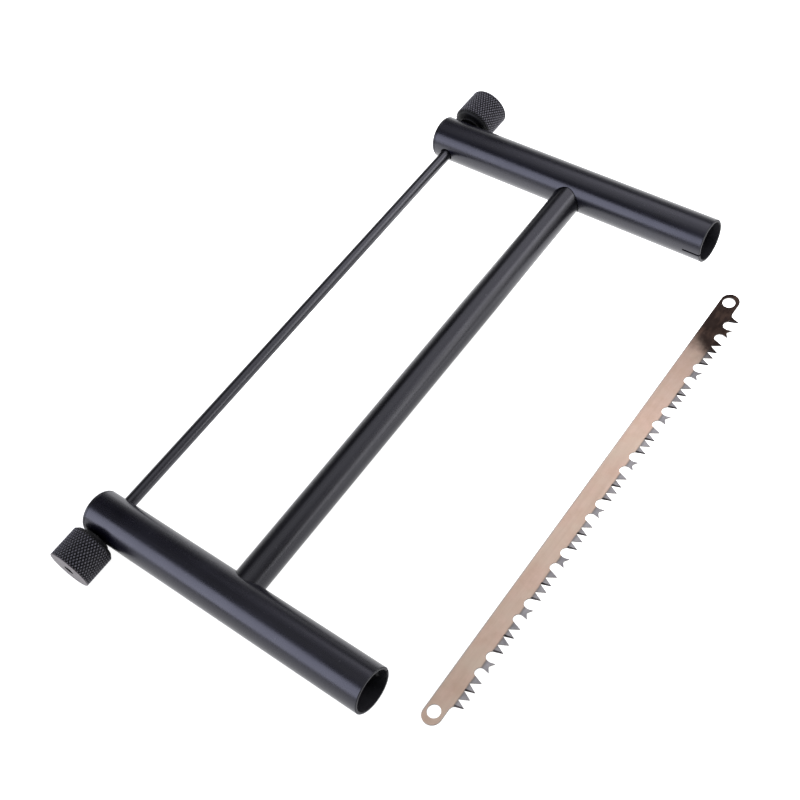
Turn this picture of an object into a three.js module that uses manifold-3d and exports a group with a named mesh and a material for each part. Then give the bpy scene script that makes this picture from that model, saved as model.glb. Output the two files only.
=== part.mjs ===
// Take-down bow saw, lying flat and opened out, with its peg-and-raker blade beside it.
// Millimetres, +Z up, +X along the blade from cheek A to cheek B, +Y from the blade to the rod.
import * as THREE from "three";
import { mergeVertices } from "three/addons/utils/BufferGeometryUtils.js";
import Module from "manifold-3d";

const wasm = await Module();
wasm.setup();

// ---- driving dimensions -------------------------------------------------------------------

const SEGMENTS = 64; // facets round each tube

// Cheeks: the two round handles. Y = 0 is the plane of their open mouths.
const CHEEK_SPACING = 312.8; // axis to axis, as opened out
const CHEEK_R = 12.5;
const CHEEK_BORE_R = 11.0;
const CHEEK_TUBE_LENGTH = 181.5;
const MOUTH_CHAMFER = 0.45;
const REAR_ROUND = 0.35;
const PLANE_Z = CHEEK_R; // height of every frame axis above the bench

// End plugs close the rod ends of the cheeks.
const PLUG_FLANGE = 2.0;
const PLUG_ROUND = 1.3;
const PLUG_SPIGOT_LENGTH = 4.0;
const PLUG_SPIGOT_R = 10.95;
const PLUG_GAP = 0.05;

// Cross tube: the spreader the cheeks slide and bear on.
const CROSS_Y = 86.9;
const CROSS_R = 8.6;
const CROSS_WALL = 1.4;
const CROSS_SOCKET_R = 8.95;
const CROSS_END_INSET = 6.5; // from a seated cheek's axis out to the tube's end face
const CROSS_CHAMFER = 0.4;

// Tension rod, with a turned-down threaded end in each nut.
const ROD_Y = 172.8;
const ROD_R = 3.4;
const ROD_THREAD_R = 2.45;
const ROD_HOLE_R = 3.95;
const ROD_CHAMFER = 0.5;
const NUT_TRAVEL = 7.25; // how far each nut draws its side in, up to the rod's shoulder

// Knurled nuts.
const NUT_R = 12.5;
const NUT_BARREL = 19.8;
const NUT_BOSS_R = 7.5;
const NUT_BOSS = 1.6;
const NUT_CHAMFER = 1.8;
const NUT_BORE_R = 2.6;
const NUT_GAP = 0.3; // between the boss and the cheek

// Blade slots, and the dowels that stand behind them in the mouths.
const SLOT_HEIGHT = 1.2;
const SLOT_DEPTH = 10.6;
const PIN_R = 1.5;
const PIN_LENGTH = 8.0;
const PIN_OFFSET = 8.65; // from the cheek's axis, towards the blade
const PIN_Y = 5.1;
const PIN_CHAMFER = 0.35;

// Blade, in its own frame: u along it from the near hole, v from the teeth to the back.
const BLADE_THICKNESS = 0.8;
const BLADE_HOLES = 277.2;
const BLADE_HOLE_R = 3.4;
const BLADE_BACK = 5.0;
const BLADE_BELLY = -5.35;
const BLADE_END = 6.1; // past the far hole
const BLADE_NEAR_END = 6.9; // past the near hole
const BLADE_X = 10.55; // near hole, from cheek A's axis
const BLADE_Y = -25.45;
const END_R = 5.175;

// Teeth: one raker and four pegs in each pitch.
const PITCH = 32.35;
const RAKERS = 8;
const FIRST_RAKER = 31.8;
const PEG_TIPS = [9.12, 14.02, 18.22, 23.6]; // from the raker before them
const PEG_VALLEYS = [11.45, 16.45, 20.72]; // between the pegs
const PEG_TIP = -10.85;
const PEG_FLAT = 0.12; // half the width of a peg's point
const VALLEY = -6.0;
const RAKER_TIP = -10.85;
const RAKER_NOTCH = -9.1;
const GULLET = -4.6;

// ---- geometry helpers ---------------------------------------------------------------------

// A three.js geometry as a manifold-3d solid, turned the right way out.
function solidOf(geometry) {
  const bare = geometry.clone();
  bare.deleteAttribute("normal");
  bare.deleteAttribute("uv");
  const merged = mergeVertices(bare, 1e-4);
  const triVerts = new Uint32Array(merged.index.array);
  const vertProperties = new Float32Array(merged.attributes.position.array);
  const solid = new wasm.Manifold(new wasm.Mesh({ numProp: 3, vertProperties, triVerts }));
  if (solid.volume() > 0) return solid;
  for (let i = 0; i < triVerts.length; i += 3) {
    [triVerts[i + 1], triVerts[i + 2]] = [triVerts[i + 2], triVerts[i + 1]];
  }
  return new wasm.Manifold(new wasm.Mesh({ numProp: 3, vertProperties, triVerts }));
}

// A manifold-3d solid as a flat-shaded three.js geometry.
function geometryOf(solid) {
  const mesh = solid.getMesh();
  const position = new Float32Array(mesh.triVerts.length * 3);
  mesh.triVerts.forEach((vertex, i) => {
    for (let k = 0; k < 3; k++) {
      position[3 * i + k] = mesh.vertProperties[vertex * mesh.numProp + k];
    }
  });
  const geometry = new THREE.BufferGeometry();
  geometry.setAttribute("position", new THREE.BufferAttribute(position, 3));
  geometry.computeVertexNormals();
  return geometry;
}

// A solid of revolution about Y from a closed list of [radius, y] corners.
function turned(corners, segments = SEGMENTS) {
  const profile = corners.map(([r, y]) => new THREE.Vector2(r, y));
  profile.push(profile[0].clone());
  return new THREE.LatheGeometry(profile, segments);
}

// A cylinder lying along X, from x0 to x1, at height z and depth y.
function barAlongX(radius, x0, x1, y, z, segments = SEGMENTS) {
  const bar = new THREE.CylinderGeometry(radius, radius, x1 - x0, segments);
  bar.rotateZ(-Math.PI / 2);
  bar.translate((x0 + x1) / 2, y, z);
  return bar;
}

// ---- cheeks -------------------------------------------------------------------------------

// One cheek about its own axis, with its mouth at y = 0. inward is +1 when the blade side of
// the saw lies towards +X, and -1 when it lies towards -X.
function cheekTube(inward) {
  const wall = turned([
    [CHEEK_BORE_R + MOUTH_CHAMFER * 0.6, 0],
    [CHEEK_R - MOUTH_CHAMFER, 0],
    [CHEEK_R, MOUTH_CHAMFER],
    [CHEEK_R, CHEEK_TUBE_LENGTH - REAR_ROUND],
    [CHEEK_R - REAR_ROUND, CHEEK_TUBE_LENGTH],
    [CHEEK_BORE_R, CHEEK_TUBE_LENGTH],
    [CHEEK_BORE_R, MOUTH_CHAMFER * 0.6],
  ]);
  const socket = barAlongX(CROSS_SOCKET_R, 0, inward * (CHEEK_R + 2), CROSS_Y, 0);
  const rodHole = barAlongX(ROD_HOLE_R, -CHEEK_R - 2, CHEEK_R + 2, ROD_Y, 0, 48);
  const slot = new THREE.BoxGeometry(CHEEK_R, SLOT_DEPTH + 1, SLOT_HEIGHT);
  slot.translate(inward * (CHEEK_R / 2 + 6), (SLOT_DEPTH - 1) / 2, 0);
  return [socket, rodHole, slot]
    .map(solidOf)
    .reduce((tube, cut) => tube.subtract(cut), solidOf(wall));
}

// The plug at a cheek's rod end: a rounded flange on a spigot.
function endPlug() {
  const y0 = CHEEK_TUBE_LENGTH + PLUG_GAP;
  const corners = [
    [0, y0 - PLUG_SPIGOT_LENGTH],
    [PLUG_SPIGOT_R - 0.4, y0 - PLUG_SPIGOT_LENGTH],
    [PLUG_SPIGOT_R, y0 - PLUG_SPIGOT_LENGTH + 0.4],
    [PLUG_SPIGOT_R, y0],
    [CHEEK_R - REAR_ROUND, y0],
    [CHEEK_R, y0 + REAR_ROUND],
  ];
  const arcSteps = 3;
  const arcY = y0 + PLUG_FLANGE - PLUG_ROUND;
  for (let i = 0; i <= arcSteps; i++) {
    const angle = (Math.PI / 2) * (i / arcSteps);
    corners.push([
      CHEEK_R - PLUG_ROUND + PLUG_ROUND * Math.cos(angle),
      arcY + PLUG_ROUND * Math.sin(angle),
    ]);
  }
  corners.push([0, y0 + PLUG_FLANGE]);
  return solidOf(turned(corners));
}

// A dowel standing upright behind a blade slot.
function bladePin() {
  const half = PIN_LENGTH / 2;
  const pin = turned(
    [
      [0, -half],
      [PIN_R - PIN_CHAMFER, -half],
      [PIN_R, -half + PIN_CHAMFER],
      [PIN_R, half - PIN_CHAMFER],
      [PIN_R - PIN_CHAMFER, half],
      [0, half],
    ],
    32,
  );
  pin.rotateX(Math.PI / 2);
  return solidOf(pin);
}

// ---- cross tube, rod and nuts -------------------------------------------------------------

// The cross tube reaches both cheeks' far bore walls once both nuts are fully home.
function crossTube() {
  const x0 = -CROSS_END_INSET;
  const x1 = CHEEK_SPACING - 2 * NUT_TRAVEL + CROSS_END_INSET;
  const inner = CROSS_R - CROSS_WALL;
  const tube = turned([
    [inner, x0],
    [CROSS_R - CROSS_CHAMFER, x0],
    [CROSS_R, x0 + CROSS_CHAMFER],
    [CROSS_R, x1 - CROSS_CHAMFER],
    [CROSS_R - CROSS_CHAMFER, x1],
    [inner, x1],
  ]);
  tube.rotateZ(-Math.PI / 2);
  return solidOf(tube);
}

// From a cheek's axis out to the rod's shoulders and ends: the shoulders meet the nuts' bosses,
// and the ends lie just inside the nuts' faces, when the nuts are home.
const ROD_SHOULDER = CHEEK_R + NUT_GAP - NUT_TRAVEL - 0.2;
const ROD_END = CHEEK_R + NUT_GAP + NUT_BOSS + NUT_BARREL - NUT_TRAVEL - 0.5;

function tensionRod() {
  const end0 = -ROD_END;
  const end1 = CHEEK_SPACING + ROD_END;
  const shoulder0 = -ROD_SHOULDER;
  const shoulder1 = CHEEK_SPACING + ROD_SHOULDER;
  const rod = turned(
    [
      [0, end0],
      [ROD_THREAD_R - ROD_CHAMFER, end0],
      [ROD_THREAD_R, end0 + ROD_CHAMFER],
      [ROD_THREAD_R, shoulder0],
      [ROD_R - 0.3, shoulder0],
      [ROD_R, shoulder0 + 0.3],
      [ROD_R, shoulder1 - 0.3],
      [ROD_R - 0.3, shoulder1],
      [ROD_THREAD_R, shoulder1],
      [ROD_THREAD_R, end1 - ROD_CHAMFER],
      [ROD_THREAD_R - ROD_CHAMFER, end1],
      [0, end1],
    ],
    40,
  );
  rod.rotateZ(-Math.PI / 2);
  return solidOf(rod);
}

// A nut with its boss face at x = 0 and its outer face towards outward * X.
function knurledNut(outward) {
  const length = NUT_BOSS + NUT_BARREL;
  const mouth = 0.4;
  const nut = turned([
    [NUT_BORE_R + mouth, 0],
    [NUT_BOSS_R - 0.3, 0],
    [NUT_BOSS_R, 0.3],
    [NUT_BOSS_R, NUT_BOSS],
    [NUT_R - NUT_CHAMFER, NUT_BOSS],
    [NUT_R, NUT_BOSS + NUT_CHAMFER],
    [NUT_R, length - 0.25],
    [NUT_R - 0.25, length],
    [NUT_BORE_R + mouth, length],
    [NUT_BORE_R, length - mouth],
    [NUT_BORE_R, mouth],
  ]);
  nut.rotateZ((-outward * Math.PI) / 2);
  return solidOf(nut);
}

// ---- blade --------------------------------------------------------------------------------

// The toothed edge from the near end to the far end, as [u, v] corners.
function toothedEdge() {
  const edge = [
    [4.6, BLADE_BELLY],
    [6.1, -5.75],
    [7.0, -6.7],
  ];
  const peg = (u) => {
    edge.push([u - PEG_FLAT, PEG_TIP]);
    edge.push([u + PEG_FLAT, PEG_TIP]);
  };
  // The four pegs between the gullet after one raker, at u0, and the gullet before the next.
  const pegs = (u0) => {
    PEG_TIPS.forEach((tip, i) => {
      peg(u0 + tip);
      if (i < PEG_VALLEYS.length) edge.push([u0 + PEG_VALLEYS[i], VALLEY]);
    });
  };
  const gulletBefore = (u) => {
    edge.push([u - 6.85, -5.6], [u - 6.3, -4.95], [u - 5.3, GULLET]);
    edge.push([u - 4.3, -4.7], [u - 3.3, -5.15], [u - 2.55, -5.9]);
  };
  const raker = (u) => {
    edge.push([u - 2.2, -7.0], [u - 2.25, -8.2], [u - 2.75, RAKER_TIP]);
    edge.push([u - 0.35, RAKER_NOTCH], [u + 0.35, RAKER_NOTCH]);
    edge.push([u + 2.75, RAKER_TIP], [u + 2.1, -8.2], [u + 2.15, -7.0]);
  };
  const gulletAfter = (u) => {
    edge.push([u + 2.5, -5.75], [u + 3.4, -4.9], [u + 4.4, -4.55]);
    edge.push([u + 5.5, -4.65], [u + 6.5, -5.2], [u + 7.2, -6.0]);
  };
  pegs(FIRST_RAKER - PITCH);
  for (let i = 0; i < RAKERS; i++) {
    const u = FIRST_RAKER + i * PITCH;
    gulletBefore(u);
    raker(u);
    gulletAfter(u);
    if (i < RAKERS - 1) pegs(u);
    else peg(u + PEG_TIPS[0]);
  }
  edge.push([268.8, -7.1], [269.5, -5.95], [271.2, BLADE_BELLY]);
  return edge;
}

function sawBlade() {
  const outline = new THREE.Shape();
  const nearU = END_R - BLADE_NEAR_END;
  const farU = BLADE_HOLES + BLADE_END - END_R;
  const midV = (BLADE_BACK + BLADE_BELLY) / 2;
  const [first, ...rest] = toothedEdge();
  outline.moveTo(first[0], first[1]);
  rest.forEach(([u, v]) => outline.lineTo(u, v));
  outline.absarc(farU, midV, END_R, -Math.PI / 2, Math.PI / 2, false);
  outline.absarc(nearU, midV, END_R, Math.PI / 2, (3 * Math.PI) / 2, false);
  for (const u of [0, BLADE_HOLES]) {
    const hole = new THREE.Path();
    hole.absarc(u, 0, BLADE_HOLE_R, 0, 2 * Math.PI, true);
    outline.holes.push(hole);
  }
  const blade = new THREE.ExtrudeGeometry(outline, {
    depth: BLADE_THICKNESS,
    bevelEnabled: false,
    curveSegments: 16,
  });
  return solidOf(blade);
}

// ---- the saw ------------------------------------------------------------------------------

function finish(color, roughness, metalness) {
  return new THREE.MeshStandardMaterial({ color, roughness, metalness });
}

const BLACK_ANODISED = [0x2a2a30, 0.38, 0.75];
const BLACK_KNURL = [0x26262b, 0.5, 0.75];
const ROD_BLACK = [0x3a3a40, 0.35, 0.8];
const BLADE_STEEL = [0xbfa694, 0.42, 0.85];
const PIN_STEEL = [0x55565a, 0.35, 0.9];

const saw = new THREE.Group();
saw.name = "bow_saw";

// Everything is placed from cheek A's mouth, then moved so that the origin is under the middle
// of the whole set.
const layout = new THREE.Group();
layout.name = "layout";
layout.position.set(-CHEEK_SPACING / 2, -(ROD_Y + NUT_R + BLADE_Y + PEG_TIP) / 2, 0);
saw.add(layout);

function place(name, solid, look, x, y, z) {
  const mesh = new THREE.Mesh(geometryOf(solid), finish(...look));
  mesh.name = name;
  mesh.position.set(x, y, z);
  layout.add(mesh);
  return mesh;
}

for (const [side, x, inward] of [
  ["a", 0, 1],
  ["b", CHEEK_SPACING, -1],
]) {
  const nutX = x - inward * (CHEEK_R + NUT_GAP);
  place("cheek_tube_" + side, cheekTube(inward), BLACK_ANODISED, x, 0, PLANE_Z);
  place("end_plug_" + side, endPlug(), BLACK_ANODISED, x, 0, PLANE_Z);
  place("blade_pin_" + side, bladePin(), PIN_STEEL, x + inward * PIN_OFFSET, PIN_Y, PLANE_Z);
  place("knurled_nut_" + side, knurledNut(-inward), BLACK_KNURL, nutX, ROD_Y, PLANE_Z);
}
place("cross_tube", crossTube(), BLACK_ANODISED, 0, CROSS_Y, PLANE_Z);
place("tension_rod", tensionRod(), ROD_BLACK, 0, ROD_Y, PLANE_Z);
place("saw_blade", sawBlade(), BLADE_STEEL, BLADE_X, BLADE_Y, 0);

export default saw;
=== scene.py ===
import math

import bmesh
import bpy
from mathutils import Matrix, Vector
from mathutils.geometry import tessellate_polygon


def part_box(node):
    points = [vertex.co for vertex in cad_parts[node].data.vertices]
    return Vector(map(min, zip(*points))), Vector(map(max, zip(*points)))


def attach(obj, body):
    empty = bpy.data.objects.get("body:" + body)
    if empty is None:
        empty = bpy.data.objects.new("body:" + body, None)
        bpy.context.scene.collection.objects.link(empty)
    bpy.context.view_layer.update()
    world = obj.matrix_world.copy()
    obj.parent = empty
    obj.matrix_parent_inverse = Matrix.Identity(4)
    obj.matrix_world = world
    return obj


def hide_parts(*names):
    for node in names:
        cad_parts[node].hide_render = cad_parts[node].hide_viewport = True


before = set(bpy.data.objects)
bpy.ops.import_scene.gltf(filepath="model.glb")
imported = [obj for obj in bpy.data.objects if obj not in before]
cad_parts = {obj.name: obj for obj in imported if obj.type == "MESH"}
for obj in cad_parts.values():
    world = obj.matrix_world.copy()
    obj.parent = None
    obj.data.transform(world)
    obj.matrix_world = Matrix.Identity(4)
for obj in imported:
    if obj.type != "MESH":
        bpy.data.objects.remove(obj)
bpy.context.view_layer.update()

MM = 0.001
TAU = 2 * math.pi

# ---- sizes, in millimetres, as in the CAD ---------------------------------------------------

CHEEK_R = 12.5
CHEEK_BORE_R = 11.0
TUBE_EDGE = 0.12
CROSS_R = 8.6
CROSS_BORE_R = 7.2
SOCKET_R = 8.95
ROD_R = 3.4
ROD_HOLE_R = 3.95
ROD_SHOULDER = 161.75
THREAD_R = 2.45
THREAD_ROOT_R = 2.05
THREAD_PITCH = 0.8
SLOT_HEIGHT = 1.2
SLOT_DEPTH = 10.6
MOUTH_BEVEL_OUT = 0.45
MOUTH_BEVEL_IN = 0.27
PLUG_R = 10.95
PLUG_DEPTH = 4.0
PLUG_FACE = 2.0
PLUG_ROUND = 1.3
PIN_R = 1.5
NUT_R = 12.5
NUT_BOSS_R = 7.5
NUT_CHAMFER = 1.8
NUT_BOSS = 1.6
NUT_LENGTH = 21.4
NUT_BORE_R = 2.6
KNURL_LINES = 44
KNURL_ANGLE = math.radians(31)
KNURL_DEPTH = 0.6
KNURL_CREST = 0.6
KNURL_STEPS = 8
KNURL_FROM_BOSS = 0.1
KNURL_FROM_END = 0.35
NUT_LINE = 0.02
PLUG_LINE = 0.04
BLADE_HOLE_X = 6.9
BLADE_FAR_END = 6.1
BLADE_BACK = 5.0

# How many faces go round each turned piece.
CHEEK_SIDES, SOCKET_SIDES, ROD_HOLE_SIDES = 160, 96, 56
PLUG_SIDES, PIN_SIDES, CROSS_SIDES, ROD_SIDES = 128, 40, 128, 48

A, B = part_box("cheek_tube_a"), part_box("cheek_tube_b")
AXIS_A = (A[0].x + A[1].x) / 2 / MM
AXIS_B = (B[0].x + B[1].x) / 2 / MM
AXIS_Z = (A[0].z + A[1].z) / 2 / MM
MOUTH_Y = A[0].y / MM
REAR_Y = A[1].y / MM
CROSS_LOW, CROSS_HIGH = (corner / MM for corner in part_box("cross_tube"))
CROSS_Y = (CROSS_LOW.y + CROSS_HIGH.y) / 2
ROD_LOW, ROD_HIGH = (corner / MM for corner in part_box("tension_rod"))
ROD_Y = (ROD_LOW.y + ROD_HIGH.y) / 2
BLADE_LOW, BLADE_HIGH = (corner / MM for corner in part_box("saw_blade"))
NUT_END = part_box("knurled_nut_b")[1].x / MM


# ---- mesh helpers ---------------------------------------------------------------------------

def smoothstep(t):
    t = min(1.0, max(0.0, t))
    return t * t * (3 - 2 * t)


def place(axis, along, radius, angle, centre):
    """A point at a distance along an axis, and at a radius and angle about it."""
    c, s = radius * math.cos(angle), radius * math.sin(angle)
    x, y, z = {"X": (along, c, s), "Y": (s, along, c), "Z": (c, s, along)}[axis]
    return Vector((x + centre[0], y + centre[1], z + centre[2]))


def add_object(name, points, faces, marks=None):
    """A mesh object from points in millimetres; marks give each face its material slot."""
    mesh = bpy.data.meshes.new(name)
    mesh.from_pydata([Vector(p) * MM for p in points], [], faces)
    if marks:
        for polygon, mark in zip(mesh.polygons, marks):
            polygon.material_index = mark
    bm = bmesh.new()
    bm.from_mesh(mesh)
    bmesh.ops.recalc_face_normals(bm, faces=bm.faces)
    bm.to_mesh(mesh)
    bm.free()
    obj = bpy.data.objects.new(name, mesh)
    bpy.context.scene.collection.objects.link(obj)
    return obj


def turned(name, profile, axis, centre, segments, closed=False, split=None):
    """A solid of revolution. profile rows are (along, radius[, mark]); radius may be a function
    of the angle, and a radius of 0 closes the end. The mark is the material of the strip that
    starts at that row. split(row, i) is 0 for a whole quad, or 1 or 2 for the diagonal that
    cuts it in two."""
    points, rings, faces, marks = [], [], [], []
    for row in profile:
        along, radius = row[0], row[1]
        if radius == 0:
            points.append(place(axis, along, 0, 0, centre))
            rings.append([len(points) - 1] * segments)
            continue
        ring = []
        for i in range(segments):
            angle = TAU * i / segments
            r = radius(angle) if callable(radius) else radius
            ring.append(len(points))
            points.append(place(axis, along, r, angle, centre))
        rings.append(ring)
    pairs = [(i, i + 1) for i in range(len(rings) - 1)]
    if closed:
        pairs.append((len(rings) - 1, 0))
    for lower, upper in pairs:
        for i in range(segments):
            j = (i + 1) % segments
            corners = [rings[lower][i], rings[lower][j], rings[upper][j], rings[upper][i]]
            face = [c for k, c in enumerate(corners) if c != corners[k - 1]]
            way = split(lower, i) if split else 0
            if way == 1:
                parts = [(face[0], face[1], face[2]), (face[0], face[2], face[3])]
            elif way == 2:
                parts = [(face[0], face[1], face[3]), (face[1], face[2], face[3])]
            else:
                parts = [face] if len(face) > 2 else []
            faces += parts
            marks += [profile[lower][2] if len(profile[lower]) > 2 else 0] * len(parts)
    return add_object(name, points, faces, marks)


def smooth(obj, degrees=28):
    """Shades smooth, apart from edges sharper than so many degrees."""
    obj.data.shade_smooth()
    obj.data.set_sharp_from_angle(angle=math.radians(degrees))
    return obj


def cut(obj, cutters):
    """Takes the cutters out of obj."""
    for cutter in cutters:
        modifier = obj.modifiers.new("cut", "BOOLEAN")
        modifier.operation = "DIFFERENCE"
        modifier.solver = "EXACT"
        modifier.object = cutter
    graph = bpy.context.evaluated_depsgraph_get()
    mesh = bpy.data.meshes.new_from_object(obj.evaluated_get(graph))
    obj.modifiers.clear()
    obj.data = mesh
    mesh.name = obj.name
    for cutter in cutters:
        bpy.data.objects.remove(cutter)
    return obj


def round_normals(obj, axis_x, axis_z):
    """Shades every face turned about a cheek's axis as a true surface of revolution."""
    mesh = obj.data
    mesh.shade_smooth()
    centre = Vector((axis_x * MM, 0, axis_z * MM))
    normals = [Vector((0, 0, 1))] * len(mesh.loops)
    for polygon in mesh.polygons:
        out = polygon.center - centre
        out.y = 0
        out.normalize()
        across = Vector((out.z, 0, -out.x))
        n = polygon.normal
        is_turned = abs(n.dot(across)) < 0.03
        for loop in polygon.loop_indices:
            if not is_turned:
                normals[loop] = n.copy()
                continue
            radial = mesh.vertices[mesh.loops[loop].vertex_index].co - centre
            radial.y = 0
            radial.normalize()
            normals[loop] = (radial * n.dot(out) + Vector((0, n.y, 0))).normalized()
    mesh.normals_split_custom_set(normals)
    return obj


# ---- materials ------------------------------------------------------------------------------

class Finish:
    """A node-based material on one Principled shader."""

    def __init__(self, name, **sockets):
        self.material = bpy.data.materials.new(name)
        self.material.use_nodes = True
        self.tree = self.material.node_tree
        self.tree.nodes.clear()
        output = self.tree.nodes.new("ShaderNodeOutputMaterial")
        self.shader = self.tree.nodes.new("ShaderNodeBsdfPrincipled")
        self.tree.links.new(self.shader.outputs["BSDF"], output.inputs["Surface"])
        for socket, value in sockets.items():
            self.shader.inputs[socket.replace("_", " ")].default_value = value
        self.place = self.node("ShaderNodeTexCoord").outputs["Object"]

    def node(self, kind, inputs=None, **settings):
        """A new node, with its inputs linked to a socket or set to a value."""
        made = self.tree.nodes.new(kind)
        for key, value in settings.items():
            setattr(made, key, value)
        for key, value in (inputs or {}).items():
            if isinstance(value, bpy.types.NodeSocket):
                self.tree.links.new(value, made.inputs[key])
            else:
                made.inputs[key].default_value = value
        return made

    def stretched(self, scale):
        """The object's coordinates, scaled to draw a noise out into lines."""
        return self.node(
            "ShaderNodeMapping", {"Vector": self.place, "Scale": scale}
        ).outputs["Vector"]

    def noise(self, scale, detail=3.0, roughness=0.55, vector=None):
        return self.node(
            "ShaderNodeTexNoise",
            {
                "Vector": vector or self.place,
                "Scale": scale,
                "Detail": detail,
                "Roughness": roughness,
            },
        ).outputs["Fac"]

    def math(self, operation, a, b=0.0, clamp=False):
        return self.node(
            "ShaderNodeMath", {0: a, 1: b}, operation=operation, use_clamp=clamp
        ).outputs[0]

    def remap(self, value, low, high, to_low=0.0, to_high=1.0, smoothly=False):
        """Takes low..high to to_low..to_high, clamped at both ends."""
        return self.node(
            "ShaderNodeMapRange",
            {
                "Value": value,
                "From Min": low,
                "From Max": high,
                "To Min": to_low,
                "To Max": to_high,
            },
            interpolation_type="SMOOTHSTEP" if smoothly else "LINEAR",
        ).outputs["Result"]

    def mix(self, factor, a, b):
        made = self.node("ShaderNodeMix", {"Factor": factor}, data_type="RGBA")
        for index, value in ((6, a), (7, b)):
            if isinstance(value, bpy.types.NodeSocket):
                self.tree.links.new(value, made.inputs[index])
            else:
                made.inputs[index].default_value = (*value, 1)
        return made.outputs[2]

    def feed(self, socket, value):
        self.tree.links.new(value, self.shader.inputs[socket])

    def bump(self, height, strength, distance):
        made = self.node(
            "ShaderNodeBump",
            {"Height": height, "Strength": strength, "Distance": distance},
        )
        self.feed("Normal", made.outputs["Normal"])


GRAIN_SCALE = 2600.0
GRAIN_BUMP = 0.12
GRAIN_HEIGHT = 0.00004
DRIFT = 0.03
HANDLED, DUST = (0.16, 0.16, 0.19), (0.3, 0.3, 0.33)


def black_coat(name, dark, light, rough, along=(1, 1, 1), wear=0.05, specular=0.55):
    """Satin black anodising: fine grain, faint drawing lines, handling marks and dust."""
    f = Finish(name, Metallic=0.0, Specular_IOR_Level=specular)
    f.shader.inputs["Specular Tint"].default_value = (0.9, 0.9, 1.0, 1)
    cloud = f.noise(38.0, 4.0)
    fine = f.noise(GRAIN_SCALE, 2.0)
    lines = f.noise(240.0, 5.0, 0.7, f.stretched(along))
    specks = f.remap(f.noise(820.0, 1.0), 0.72, 0.8)
    tone = f.mix(f.remap(cloud, 0.3, 0.7), dark, light)
    tone = f.mix(f.math("MULTIPLY", f.remap(lines, 0.5, 0.85), wear), tone, HANDLED)
    tone = f.mix(f.math("MULTIPLY", specks, wear * 2.0), tone, DUST)
    f.feed("Base Color", tone)
    drift = f.math("ADD", f.remap(cloud, 0.25, 0.75, rough - 0.035, rough + 0.035),
                   f.remap(lines, 0.2, 0.8, -DRIFT, DRIFT))
    f.feed("Roughness", f.math("ADD", drift, f.remap(fine, 0.2, 0.8, -DRIFT, DRIFT), True))
    f.bump(f.math("ADD", fine, f.math("MULTIPLY", lines, 0.5)), GRAIN_BUMP, GRAIN_HEIGHT)
    return f.material


def steel(name, dark, light, rough, along):
    """Bright steel with fine machining lines and a few dull marks."""
    f = Finish(name, Metallic=1.0)
    lines = f.noise(900.0, 4.0, 0.7, f.stretched(along))
    cloud = f.noise(160.0, 3.0)
    f.feed("Base Color", f.mix(f.remap(cloud, 0.3, 0.7), dark, light))
    f.feed("Roughness", f.math("ADD", f.remap(lines, 0.2, 0.8, rough - 0.06, rough + 0.08),
                               f.remap(cloud, 0.3, 0.7, -0.04, 0.04), True))
    f.bump(lines, 0.15, 0.00003)
    return f.material


def knurl_coat(name, grey):
    """The black coat on a knurl: grey on the crests, as wear and as a painted highlight, and black
    in the grooves.
    """
    f = Finish(name, Metallic=0.0, Specular_IOR_Level=0.3)
    xyz = f.node("ShaderNodeSeparateXYZ", {"Vector": f.place}).outputs
    y = f.math("SUBTRACT", xyz["Y"], ROD_Y * MM)
    z = f.math("SUBTRACT", xyz["Z"], AXIS_Z * MM)
    radius = f.math("SQRT", f.math("ADD", f.math("MULTIPLY", y, y), f.math("MULTIPLY", z, z)))
    crest = f.remap(radius, (NUT_R - 0.42) * MM, (NUT_R - 0.06) * MM)
    outward = f.math("ABSOLUTE", xyz["X"])
    inner = f.remap(outward, (NUT_END - 0.7) * MM, (NUT_END - 0.3) * MM, 1, 0)
    crest = f.math("MULTIPLY", crest, inner)
    # The crests' grey is partly wear and partly a painted highlight.
    crest_highlight_and_wear = f.math("MULTIPLY", crest, f.remap(f.noise(700.0, 3.0), 0.3, 0.7, 0.65, 1.0))
    tint = (grey, grey * 0.98, grey * 1.17)
    f.feed("Base Color", f.mix(crest_highlight_and_wear, (0.0025, 0.0025, 0.0035), tint))
    f.feed("Roughness", f.remap(crest, 0, 1, 0.55, 0.3))
    f.bump(f.noise(GRAIN_SCALE, 2.0), GRAIN_BUMP, GRAIN_HEIGHT)
    return f.material


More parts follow.
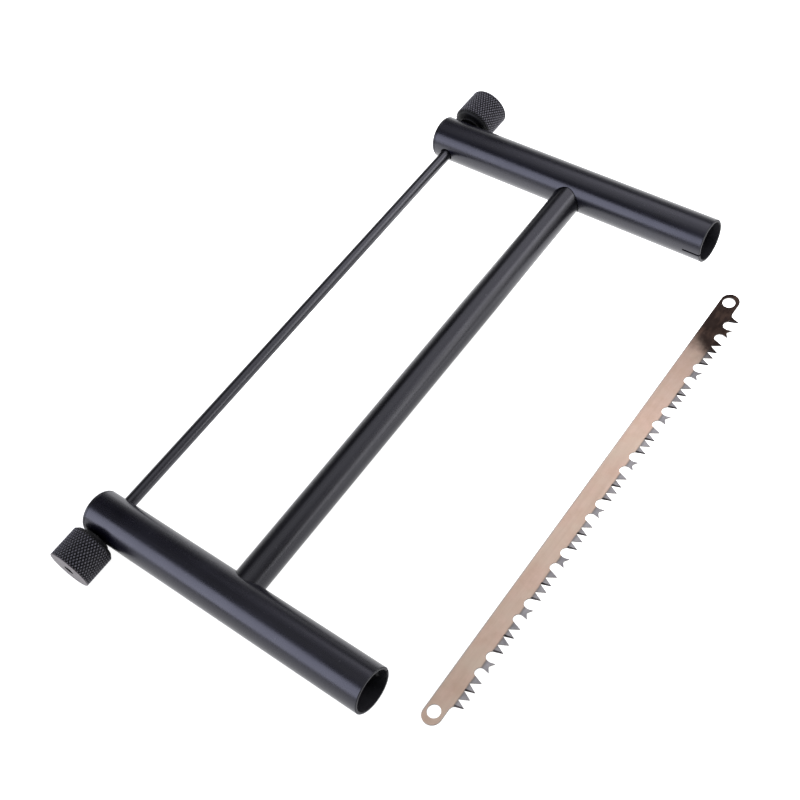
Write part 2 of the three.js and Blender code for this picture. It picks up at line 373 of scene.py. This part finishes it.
def blade_steel(name):
    """Lacquered spring steel: a tan body, blue-grey hardened teeth, a line where they meet,
    and a far end coloured dark brown as a painted reflection, with painted shade leading into it."""
    f = Finish(name, Metallic=1.0)
    xyz = f.node("ShaderNodeSeparateXYZ", {"Vector": f.place}).outputs
    wobble = f.noise(180.0, 3.0)
    mottle = f.noise(150.0, 4.0, 0.6)
    patches = f.noise(46.0, 3.0)
    brushed = f.noise(420.0, 5.0, 0.7, f.stretched((0.05, 1, 1)))
    body = f.mix(f.remap(mottle, 0.35, 0.65), (0.59, 0.427, 0.33), (0.68, 0.508, 0.414))
    body = f.mix(f.remap(patches, 0.4, 0.7), body, (0.647, 0.53, 0.424))
    body = f.mix(f.remap(brushed, 0.45, 0.9, 0, 0.35), body, (0.498, 0.366, 0.281))
    teeth = f.mix(f.remap(mottle, 0.35, 0.65), (0.285, 0.275, 0.285), (0.44, 0.425, 0.43))
    # In metres: u runs along the blade from its near hole, v from the holes towards the back.
    v = f.math("SUBTRACT", xyz["Y"], (BLADE_HIGH.y - BLADE_BACK) * MM)
    v = f.math("ADD", v, f.remap(wobble, 0, 1, -0.0003, 0.0003))
    u = f.math("SUBTRACT", xyz["X"], (BLADE_LOW.x + BLADE_HOLE_X) * MM)
    line = f.math("MULTIPLY", f.remap(v, -0.0074, -0.0063), f.remap(v, -0.0056, -0.0062))
    hard = f.remap(v, -0.0061, -0.0064)
    tone = f.mix(hard, body, teeth)
    tone = f.mix(f.math("MULTIPLY", line, 0.6), tone, (0.20, 0.17, 0.145))
    tone = f.mix(f.remap(v, 0.0041, 0.0046, 0, 0.8), tone, (0.50, 0.46, 0.42))
    # Painted shade: the body darkens towards the far end, leading into the painted reflection.
    tone = f.mix(f.remap(u, 0.185, 0.240, 0, 0.33), tone, (0.04, 0.03, 0.026))
    # Painted reflection: the far end is coloured dark brown with paler streaks, standing in for a
    # dark area mirrored in the steel.
    slant = f.math("ADD", u, f.math("MULTIPLY", v, -0.45))
    slant = f.math("ADD", slant, f.remap(f.noise(95.0, 4.0), 0.2, 0.8, -0.006, 0.006))
    painted_reflection_mask = f.remap(slant, 0.2345, 0.2520, smoothly=True)
    painted_reflection_colour = f.mix(f.remap(mottle, 0.3, 0.7), (0.022, 0.0145, 0.012), (0.040, 0.027, 0.023))
    streaks = f.noise(150.0, 4.0, 0.65, f.stretched((0.45, 1, 1)))
    painted_reflection_colour = f.mix(f.remap(streaks, 0.50, 0.72, 0, 0.75), painted_reflection_colour, (0.098, 0.062, 0.046))
    tone = f.mix(painted_reflection_mask, tone, painted_reflection_colour)
    f.feed("Base Color", tone)
    rough = f.math("ADD", f.remap(brushed, 0.2, 0.8, 0.42, 0.54),
                   f.remap(mottle, 0.3, 0.7, -0.04, 0.04))
    f.feed("Roughness", f.math("ADD", rough, f.math("MULTIPLY", hard, 0.08), True))
    f.bump(f.math("ADD", brushed, f.math("MULTIPLY", f.noise(1500.0, 2.0), 0.6)), 0.12, 0.00003)
    return f.material


TUBE = black_coat(
    "black_tube_coat", (0.0012, 0.0012, 0.0040), (0.0024, 0.0022, 0.0070), 0.28,
    along=(1, 0.04, 1),
)
CROSS_COAT = black_coat(
    "black_cross_coat", (0.0014, 0.0014, 0.0024), (0.0026, 0.0026, 0.004), 0.28,
    along=(0.04, 1, 1),
)
PLUG_COAT = black_coat(
    "black_plug_coat", (0.0014, 0.0014, 0.0024), (0.003, 0.003, 0.0046), 0.28,
    along=(1, 3, 1),
)
ROD_COAT = black_coat(
    "black_rod_coat", (0.0014, 0.0014, 0.0024), (0.003, 0.003, 0.0046), 0.26,
    along=(0.03, 1, 1), specular=0.72,
)
FACE_COAT = black_coat(
    "black_turned_face", (0.064, 0.051, 0.056), (0.085, 0.069, 0.074), 0.42,
    along=(6, 1, 1), specular=0.36,
)
BORE_COAT = black_coat(
    "black_bore_coat", (0.008, 0.008, 0.010), (0.013, 0.013, 0.016), 0.5,
    along=(1, 0.04, 1),
)
NUT_BORE_COAT = black_coat(
    "black_nut_bore", (0.001, 0.001, 0.0013), (0.002, 0.002, 0.0025), 0.6,
    wear=0.01, specular=0.12,
)
RIM_COAT = black_coat(
    "black_rim_coat", (0.010, 0.010, 0.012), (0.016, 0.016, 0.019), 0.5,
    wear=0.03, specular=0.3,
)
EDGE_COAT = black_coat(
    "black_mouth_edge", (0.003, 0.003, 0.004), (0.006, 0.006, 0.008), 0.5,
    wear=0.03, specular=0.15,
)
# Nut A's crests are a darker grey and nut B's a lighter one: painted shade on nut A and painted
# light on nut B.
KNURL_COATS = {
    letter: knurl_coat(f"black_knurl_coat_{letter}", grey)
    for letter, grey in (("a", 0.115), ("b", 0.17))
}
# The dowel's steel is coloured nearly black: painted shade for the dowel inside the tube.
PIN_STEEL_PAINTED_SHADE = steel(
    "dowel_steel_painted_shade", (0.010, 0.010, 0.011), (0.020, 0.020, 0.021), 0.5, (1, 1, 0.05)
)
THREAD_STEEL = steel("thread_steel", (0.10, 0.10, 0.11), (0.2, 0.2, 0.21), 0.32, (1, 1, 1))
# The filed flanks are coloured dark steel: painted shade on the teeth's undersides.
FLANK_STEEL_PAINTED_SHADE = steel(
    "filed_flank_steel_painted_shade", (0.06, 0.053, 0.053), (0.125, 0.113, 0.113), 0.3, (1, 1, 8)
)
SHEARED_STEEL = steel(
    "sheared_edge_steel", (0.20, 0.19, 0.18), (0.30, 0.285, 0.27), 0.4, (1, 1, 8)
)
BLADE = blade_steel("blade_lacquered_steel")


def finish_piece(obj, body, nodes, materials):
    """Gives a piece its materials, its body and the CAD nodes it stands for."""
    for material in materials:
        obj.data.materials.append(material)
    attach(obj, body)
    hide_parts(*nodes)


# ---- cheeks ---------------------------------------------------------------------------------

def rounded(along, radius, size, steps):
    """Profile points of a round-over with its centre at (along, radius)."""
    angles = [math.pi / 2 * i / steps for i in range(steps + 1)]
    return [(along + size * math.sin(a), radius + size * math.cos(a)) for a in angles]


def cheek(name, axis_x, inward):
    """A cheek tube with its mouth bevel, blade slot, cross-tube socket and rod hole."""
    centre = (axis_x, 0, AXIS_Z)
    rear = rounded(REAR_Y - TUBE_EDGE, CHEEK_R - TUBE_EDGE, TUBE_EDGE, 3)
    profile = (
        [(MOUTH_Y + MOUTH_BEVEL_IN, CHEEK_BORE_R, 1)]
        + [(MOUTH_Y, CHEEK_BORE_R + MOUTH_BEVEL_IN, 3)]
        + [(MOUTH_Y, CHEEK_R - MOUTH_BEVEL_OUT, 3), (MOUTH_Y + MOUTH_BEVEL_OUT, CHEEK_R, 0)]
        + [(MOUTH_Y + 20 * i, CHEEK_R, 0) for i in range(1, 9)]
        + [(y, r, 0) for y, r in rear]
        + [(REAR_Y, CHEEK_BORE_R, 2)]
        + [(MOUTH_Y + 20 * i, CHEEK_BORE_R, 2) for i in range(8, 0, -1)]
    )
    tube = turned(name, profile, "Y", centre, CHEEK_SIDES, closed=True)
    reach = inward * (CHEEK_R + 3)
    socket = turned(
        "cut_socket",
        [(0, 0), (0, SOCKET_R), (reach, SOCKET_R), (reach, 0)],
        "X", (axis_x, CROSS_Y, AXIS_Z), SOCKET_SIDES,
    )
    rod_hole = turned(
        "cut_rod",
        [(-20, 0), (-20, ROD_HOLE_R), (20, ROD_HOLE_R), (20, 0)],
        "X", (axis_x, ROD_Y, AXIS_Z), ROD_HOLE_SIDES,
    )
    near, far = sorted((axis_x + inward * 3, axis_x + inward * 20))
    low, high = AXIS_Z - SLOT_HEIGHT / 2, AXIS_Z + SLOT_HEIGHT / 2
    front, back = MOUTH_Y - 2, MOUTH_Y + SLOT_DEPTH
    corners = [(x, y, z) for x in (near, far) for y in (front, back) for z in (low, high)]
    sides = [(0, 1, 3, 2), (4, 6, 7, 5), (0, 4, 5, 1), (2, 3, 7, 6), (0, 2, 6, 4), (1, 5, 7, 3)]
    slot = add_object("cut_slot", corners, sides)
    return round_normals(cut(tube, [socket, rod_hole, slot]), axis_x, AXIS_Z)


for letter, axis_x, inward, body in (("a", AXIS_A, 1, "frame"), ("b", AXIS_B, -1, "cheek_b")):
    tube = cheek(f"cheek_{letter}", axis_x, inward)
    coats = [TUBE, EDGE_COAT, BORE_COAT, RIM_COAT]
    finish_piece(tube, body, [f"cheek_tube_{letter}"], coats)

    # The plug that closes the rod end: a rounded flange with fine turned lines.
    y0 = REAR_Y + 0.05
    inner = y0 - PLUG_DEPTH
    rim = [(inner, 0), (inner, PLUG_R - 0.4), (inner + 0.4, PLUG_R), (y0, PLUG_R)]
    rim += [(y0, CHEEK_R - 0.12), (y0 + 0.05, CHEEK_R - 0.03), (y0 + 0.12, CHEEK_R)]
    groove = CHEEK_R - 0.035
    rim += [(y0 + 0.4, CHEEK_R), (y0 + 0.44, groove), (y0 + 0.5, groove), (y0 + 0.54, CHEEK_R)]
    rim += rounded(y0 + PLUG_FACE - PLUG_ROUND, CHEEK_R - PLUG_ROUND, PLUG_ROUND, 10)
    face, line = y0 + PLUG_FACE, y0 + PLUG_FACE - PLUG_LINE
    for r in (10.8, 9.0, 6.5, 4.0):
        rim += [(face, r), (line, r - 0.1), (line, r - 0.18), (face, r - 0.28)]
    rim += [(face, 0)]
    plug = turned(f"plug_{letter}", rim, "Y", (axis_x, 0, AXIS_Z), PLUG_SIDES)
    smooth(plug, 40)
    finish_piece(plug, body, [f"end_plug_{letter}"], [PLUG_COAT])

    # The dowel that stands behind the blade slot.
    low, high = (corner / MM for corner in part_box(f"blade_pin_{letter}"))
    half = (high.z - low.z) / 2
    lead = [(0, 0), (0, PIN_R - 0.35), (0.1, PIN_R - 0.12), (0.35, PIN_R), (0.9, PIN_R)]
    shape = [(a - half, r) for a, r in lead] + [(half - a, r) for a, r in reversed(lead)]
    centre = ((low.x + high.x) / 2, (low.y + high.y) / 2, (low.z + high.z) / 2)
    pin = smooth(turned(f"pin_{letter}", shape, "Z", centre, PIN_SIDES), 50)
    finish_piece(pin, body, [f"blade_pin_{letter}"], [PIN_STEEL_PAINTED_SHADE])


# ---- cross tube -----------------------------------------------------------------------------

x0, x1 = CROSS_LOW.x, CROSS_HIGH.x
profile = [(x0, CROSS_BORE_R, 1), (x0, CROSS_R - 0.4, 1)]
profile += [(x0 + 0.12, CROSS_R - 0.15, 0), (x0 + 0.4, CROSS_R, 0)]
profile += [(x0 + (x1 - x0) * i / 14, CROSS_R, 0) for i in range(1, 14)]
profile += [(x1 - 0.4, CROSS_R, 0), (x1 - 0.12, CROSS_R - 0.15, 0)]
profile += [(x1, CROSS_R - 0.4, 1), (x1, CROSS_BORE_R, 1)]
centre = (0, CROSS_Y, AXIS_Z)
spreader = smooth(turned("cross_bar", profile, "X", centre, CROSS_SIDES, closed=True))
finish_piece(spreader, "frame", ["cross_tube"], [CROSS_COAT, BORE_COAT])


# ---- tension rod with its threaded ends -----------------------------------------------------

def threaded(start, end):
    """Rows of a V thread between two stations, running out at both of its ends."""
    rows, count = [], max(2, round(abs(end - start) / (THREAD_PITCH / 8)))
    for i in range(count + 1):
        x = start + (end - start) * i / count
        edge = min(abs(x - start), abs(end - x))
        depth = (THREAD_R - THREAD_ROOT_R) * smoothstep(edge / 0.9)

        def radius(angle, x=x, depth=depth):
            phase = (x / THREAD_PITCH - angle / TAU) % 1
            ridge = min(1.0, 1.25 * (1 - abs(2 * phase - 1)))
            return THREAD_R - depth * (1 - ridge)

        rows.append((x, radius, 1))
    return rows


end0, end1 = ROD_LOW.x, ROD_HIGH.x
shoulder = [(0, THREAD_R), (0, ROD_R - 0.3), (0.1, ROD_R - 0.1), (0.3, ROD_R)]
profile = [(end0, 0, 1), (end0, THREAD_R - 0.5, 1)]
profile += threaded(end0 + 0.5, -ROD_SHOULDER - 0.6)
profile += [(-ROD_SHOULDER + a, r, 0) for a, r in shoulder]
profile += [
    (-ROD_SHOULDER + 0.3 + (2 * ROD_SHOULDER - 0.6) * i / 14, ROD_R, 0) for i in range(1, 14)
]
profile += [(ROD_SHOULDER - a, r, 0) for a, r in reversed(shoulder)]
profile += threaded(ROD_SHOULDER + 0.6, end1 - 0.5)
profile += [(end1, THREAD_R - 0.5, 1), (end1, 0, 1)]
rod = smooth(turned("draw_rod", profile, "X", (0, ROD_Y, AXIS_Z), ROD_SIDES), 30)
finish_piece(rod, "rod", ["tension_rod"], [ROD_COAT, THREAD_STEEL])


# ---- knurled nuts ---------------------------------------------------------------------------

def knurled_nut(name, boss_x, outward):
    """A barrel nut with a diamond knurl of cut-off pyramids, its boss face at boss_x."""
    lead = TAU * NUT_R / KNURL_LINES / math.tan(KNURL_ANGLE)
    start, end = NUT_BOSS, NUT_LENGTH
    rows = [(0, NUT_BORE_R + 0.4, 0), (0, NUT_BOSS_R - 0.3, 0), (0.3, NUT_BOSS_R, 0)]
    rows += [(start, NUT_BOSS_R, 0), (start, NUT_BOSS_R + 0.6, 0)]
    rows += [(start, NUT_R - NUT_CHAMFER - 0.2, 0)]
    first = len(rows)
    step = lead / KNURL_STEPS
    offset = math.ceil((start + KNURL_FROM_BOSS) / step)
    count = int((end - KNURL_FROM_END) / step) - offset
    for k in range(count + 1):
        a = (offset + k) * step
        crest = NUT_R - 0.03 - max(0.0, NUT_CHAMFER - (a - start))

        def radius(angle, k=offset + k, a=a, crest=crest):
            around = KNURL_LINES * angle / TAU
            phases = [(around + way * k / KNURL_STEPS) % 1 for way in (1, -1)]
            height = min(1 - abs(2 * phase - 1) for phase in phases)
            fade = smoothstep((end - a - 0.2) / 0.5) * smoothstep((a - start) / NUT_CHAMFER)
            return crest - KNURL_DEPTH * fade * (1 - min(1.0, height / KNURL_CREST))

        rows.append((a, radius, 0))
    last = len(rows) - 1
    rows += [(end - 0.3, NUT_R - 0.02, 1), (end - 0.1, NUT_R - 0.12, 1), (end, NUT_R - 0.35, 1)]
    line = end - NUT_LINE
    for r in (10.1, 8.6, 7.1, 5.6, 4.2):
        rows += [(end, r, 1), (line, r - 0.12, 1), (line, r - 0.2, 1), (end, r - 0.32, 1)]
    rows += [(end, NUT_BORE_R + 0.4, 2), (end - 0.4, NUT_BORE_R, 2), (0.4, NUT_BORE_R, 1)]
    flat = [(boss_x + outward * a, r, m) for a, r, m in rows]

    def split(row, i):
        """Which way a knurl cell is cut in two, so that its fold lies in a groove."""
        if not first <= row < last:
            return 0
        k = offset + row - first
        return 1 if (i - k) % KNURL_STEPS == 0 else 2

    around = KNURL_LINES * KNURL_STEPS
    nut = turned(name, flat, "X", (0, ROD_Y, AXIS_Z), around, closed=True, split=split)
    return smooth(nut, 17)


for letter, body, outward in (("a", "nut_a", -1), ("b", "nut_b", 1)):
    low, high = (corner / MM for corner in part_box(f"knurled_nut_{letter}"))
    boss_x = high.x if outward < 0 else low.x
    nut = knurled_nut(f"nut_{letter}", boss_x, outward)
    coats = [KNURL_COATS[letter], FACE_COAT, NUT_BORE_COAT]
    finish_piece(nut, body, [f"knurled_nut_{letter}"], coats)


# ---- blade ----------------------------------------------------------------------------------

BLADE_THICKNESS = 0.8
BLADE_EDGE = 0.08
BLADE_HOLES = 277.2
BLADE_HOLE_R = 3.4
BLADE_BELLY = -5.35
END_R = 5.175
END_STEPS, HOLE_STEPS = 40, 64
PITCH, RAKERS, FIRST_RAKER = 32.35, 8, 31.8
FLANK = 1.0
PEG_TIPS = (9.12, 14.02, 18.22, 23.6)
PEG_VALLEYS = (11.45, 16.45, 20.72)
PEG_TIP, VALLEY, RAKER_TIP, RAKER_NOTCH, GULLET = -10.85, -6.0, -10.85, -9.1, -4.6
# One raker with its two gullets, as (u, v) from the raker's middle.
RAKER = (
    (-6.85, -5.6), (-6.3, -4.95), (-5.3, GULLET), (-4.3, -4.7), (-3.3, -5.15), (-2.55, -5.9),
    (-2.2, -7.0), (-2.25, -8.2), (-2.75, RAKER_TIP), (-0.35, RAKER_NOTCH),
    (0.35, RAKER_NOTCH), (2.75, RAKER_TIP), (2.1, -8.2), (2.15, -7.0),
    (2.5, -5.75), (3.4, -4.9), (4.4, -4.55), (5.5, -4.65), (6.5, -5.2), (7.2, -6.0),
)
ORIGIN_U = BLADE_LOW.x + BLADE_HOLE_X
ORIGIN_V = BLADE_LOW.y - PEG_TIP


def toothed_edge():
    """The toothed edge as (u, v, bevel): bevel is how far along the blade the top of a filed
    flank stands from its foot, in millimetres. Every other peg is filed on its near flank."""
    edge = [(4.6, BLADE_BELLY, 0), (6.1, -5.75, 0), (7.0, -6.7, 0)]

    def peg(u, index):
        edge.append((u - 0.12, PEG_TIP, 0.2 if index % 2 == 0 else 0))
        edge.append((u + 0.12, PEG_TIP, 0))

    def pegs(u0):
        edge.append((u0 + 7.35, -6.15, FLANK))
        for i, tip in enumerate(PEG_TIPS):
            peg(u0 + tip, i)
            if i < len(PEG_VALLEYS):
                edge.append((u0 + PEG_VALLEYS[i] - 0.04, VALLEY, 0))
                edge.append((u0 + PEG_VALLEYS[i] + 0.04, VALLEY, FLANK if i % 2 else 0))

    pegs(FIRST_RAKER - PITCH)
    for i in range(RAKERS):
        u = FIRST_RAKER + i * PITCH
        edge += [(u + du, v, 0) for du, v in RAKER]
        if i < RAKERS - 1:
            pegs(u)
        else:
            edge.append((u + 7.35, -6.15, FLANK))
            peg(u + PEG_TIPS[0], 0)
    edge += [(268.8, -7.1, 0), (269.5, -5.95, 0), (271.2, BLADE_BELLY, 0)]
    return edge


def saw_blade():
    """The blade's flats, edges and holes, its filed flanks marked 1 and its other edges 2."""
    middle = (BLADE_BACK + BLADE_BELLY) / 2
    near_u, far_u = END_R - BLADE_HOLE_X, BLADE_HOLES + BLADE_FAR_END - END_R
    outline = toothed_edge()

    def round_end(end_u, start):
        for i in range(END_STEPS + 1):
            a = start + math.pi * i / END_STEPS
            outline.append((end_u + END_R * math.cos(a), middle + END_R * math.sin(a), 0))

    round_end(far_u, -math.pi / 2)
    for i in range(1, END_STEPS):
        outline.append((far_u + (near_u - far_u) * i / END_STEPS, BLADE_BACK, 0))
    round_end(near_u, math.pi / 2)
    turns = [TAU * i / HOLE_STEPS for i in range(HOLE_STEPS)]
    holes = [
        [(u + BLADE_HOLE_R * math.cos(a), BLADE_HOLE_R * math.sin(a), 0) for a in turns]
        for u in (0, BLADE_HOLES)
    ]
    loops = [outline] + holes
    levels = [0.0, BLADE_EDGE, BLADE_THICKNESS - BLADE_EDGE, BLADE_THICKNESS]
    points, rings = [], []
    for loop in loops:
        count = len(loop)
        inward = BLADE_EDGE if loop is outline else -BLADE_EDGE
        around = []
        for level, z in enumerate(levels):
            ring = []
            for i, (u, v, bevel) in enumerate(loop):
                before, after = loop[i - 1], loop[(i + 1) % count]
                du, dv = after[0] - before[0], after[1] - before[1]
                length = math.hypot(du, dv) or 1
                shift = inward if level in (0, 3) else 0.0
                pu, pv = u - dv / length * shift, v + du / length * shift
                pu += bevel * z / BLADE_THICKNESS
                ring.append(len(points))
                points.append((ORIGIN_U + pu, ORIGIN_V + max(pv, PEG_TIP), z))
            around.append(ring)
        rings.append(around)
    faces, marks = [], []
    for loop, around in zip(loops, rings):
        for lower, upper in zip(around, around[1:]):
            for i in range(len(lower)):
                j = (i + 1) % len(lower)
                faces.append((lower[i], lower[j], upper[j], upper[i]))
                marks.append(1 if loop[i][2] > 0.5 and loop[j][2] > 0 else 2)
    for level in (0, 3):
        flat = [
            [Vector((points[p][0], points[p][1], 0)) for p in around[level]] for around in rings
        ]
        ids = [p for around in rings for p in around[level]]
        faces += [tuple(ids[k] for k in triangle) for triangle in tessellate_polygon(flat)]
    marks += [0] * (len(faces) - len(marks))
    return add_object("blade_strip", points, faces, marks)


blade = smooth(saw_blade(), 20)
finish_piece(blade, "blade", ["saw_blade"], [BLADE, FLANK_STEEL_PAINTED_SHADE, SHEARED_STEEL])


# ---- floor, light and camera ----------------------------------------------------------------

FLOOR_HALF = 15
FLOOR_DROP = 0.0003

floor_mesh = bpy.data.meshes.new("floor")
floor_corners = [(-1, -1), (1, -1), (1, 1), (-1, 1)]
floor_mesh.from_pydata(
    [(x * FLOOR_HALF, y * FLOOR_HALF, 0) for x, y in floor_corners], [], [(0, 1, 2, 3)]
)
floor = bpy.data.objects.new("floor", floor_mesh)
floor.location.z = -FLOOR_DROP
bpy.context.scene.collection.objects.link(floor)

# White paper that gives off a little light: less by cheek A and beyond cheek B, and least inside
# the frame, so that the rod's and the cross tube's lower right sides stay dark. across is x and
# along is y, in metres.
GLOW_LOW, GLOW_HIGH, GLOW_DROP, GLOW_INSIDE = 0.97, 1.95, 0.65, 0.92
paper = Finish("floor_paper", Roughness=0.9, Specular_IOR_Level=0.0)
paper.shader.inputs["Emission Color"].default_value = (1, 1, 1, 1)
floor_xyz = paper.node("ShaderNodeSeparateXYZ", {"Vector": paper.place}).outputs
across, along = floor_xyz["X"], floor_xyz["Y"]
rise = paper.remap(across, -0.12, 0.02, GLOW_LOW, GLOW_HIGH, True)
glow = paper.math("SUBTRACT", rise, paper.remap(across, 0.155, 0.185, 0, GLOW_DROP, True))
inside = paper.math(
    "MULTIPLY",
    paper.remap(across, -0.125, -0.09, 0, 1, True),
    paper.remap(across, 0.06, 0.115, 1, 0, True),
)
inside = paper.math("MULTIPLY", inside, paper.remap(along, -0.085, -0.045, 0, 1, True))
up_to_rod = paper.remap(along, (ROD_Y - 2) * MM, (ROD_Y + 4) * MM, 1, 0, True)
inside = paper.math("MULTIPLY", inside, up_to_rod)
lost = paper.math("MULTIPLY", inside, paper.math("SUBTRACT", glow, GLOW_INSIDE))
paper.feed("Emission Strength", paper.math("SUBTRACT", glow, lost))
paper.feed("Base Color", paper.mix(paper.noise(6.0), (0.44, 0.44, 0.44), (0.46, 0.46, 0.46)))
floor_mesh.materials.append(paper.material)

# A dim room with a pale horizon and a pale spot straight overhead: rows of the sine of the
# height above the horizon, and the brightness there.
ROOM = ((0.0, 1.0), (0.45, 0.1), (0.8, 0.02), (1.0, 1.0))
world = bpy.data.worlds.new("studio")
bpy.context.scene.world = world
world.use_nodes = True
tree = world.node_tree
background = tree.nodes["Background"]
coordinates = tree.nodes.new("ShaderNodeTexCoord")
split = tree.nodes.new("ShaderNodeSeparateXYZ")
ramp = tree.nodes.new("ShaderNodeValToRGB")
tree.links.new(coordinates.outputs["Generated"], split.inputs[0])
tree.links.new(split.outputs["Z"], ramp.inputs[0])
tree.links.new(ramp.outputs[0], background.inputs[0])
elements = ramp.color_ramp.elements
for position, _ in ROOM[1:-1]:
    elements.new(position)
for element, (_, level) in zip(elements, ROOM):
    element.color = (level, level, level, 1)
background.inputs["Strength"].default_value = 1.0


def softbox(name, centre, aim, width, height, radiance, colour=(1, 1, 1), roll=0.0):
    """A rectangular area light at one point, facing another, evenly bright all over."""
    light = bpy.data.lights.new(name, "AREA")
    light.shape = "RECTANGLE"
    light.size, light.size_y = width, height
    light.energy = radiance * math.pi * width * height
    light.color = colour
    obj = bpy.data.objects.new(name, light)
    obj.location = centre
    direction = Vector(centre) - Vector(aim)
    obj.rotation_mode = "QUATERNION"
    turn = Matrix.Rotation(math.radians(roll), 3, "Z")
    facing = direction.to_track_quat("Z", "Y").to_matrix()
    obj.rotation_quaternion = (facing @ turn).to_quaternion()
    bpy.context.scene.collection.objects.link(obj)


# name, centre, aim, width, height, radiance, colour and roll in degrees.
softbox("key", (-1.15, 0.68, 0.74), (0, 0, 0), 1.1, 1.0, 4.15, (0.815, 0.835, 1.0))
softbox("overhead", (0.62, -0.17, 0.85), (0.62, -0.17, 0), 1.06, 1.45, 0.44, (0.93, 0.92, 1.0))
softbox("overhead_mid", (0.72, -0.17, 0.87), (0.72, -0.17, 0), 0.86, 1.45, 0.52, (0.94, 0.93, 1.0))
softbox("overhead_far", (0.84, -0.17, 0.89), (0.84, -0.17, 0), 0.62, 1.45, 0.92, (0.96, 0.94, 1.0))
softbox("front", (0.6, -1.0, 0.62), (0, 0, 0), 1.3, 0.4, 3.4, (1.0, 0.99, 0.98), 40)

EYE = Vector((-0.27877, -0.294735, 0.55724))
TARGET = Vector((-0.01233, 0.019815, 0.0))
ROLL = math.radians(-15.973)
LENS = 57.225

camera_data = bpy.data.cameras.new("camera")
camera_data.sensor_width = 36.0
camera_data.lens = LENS
camera = bpy.data.objects.new("camera", camera_data)
look = (TARGET - EYE).to_track_quat("-Z", "Y").to_matrix()
camera.rotation_mode = "QUATERNION"
camera.rotation_quaternion = (look @ Matrix.Rotation(ROLL, 3, "Z")).to_quaternion()
camera.location = EYE
camera_data.clip_start = 0.01
camera_data.clip_end = 20
bpy.context.scene.collection.objects.link(camera)
bpy.context.scene.camera = camera
bpy.context.scene.view_settings.view_transform = "Standard"
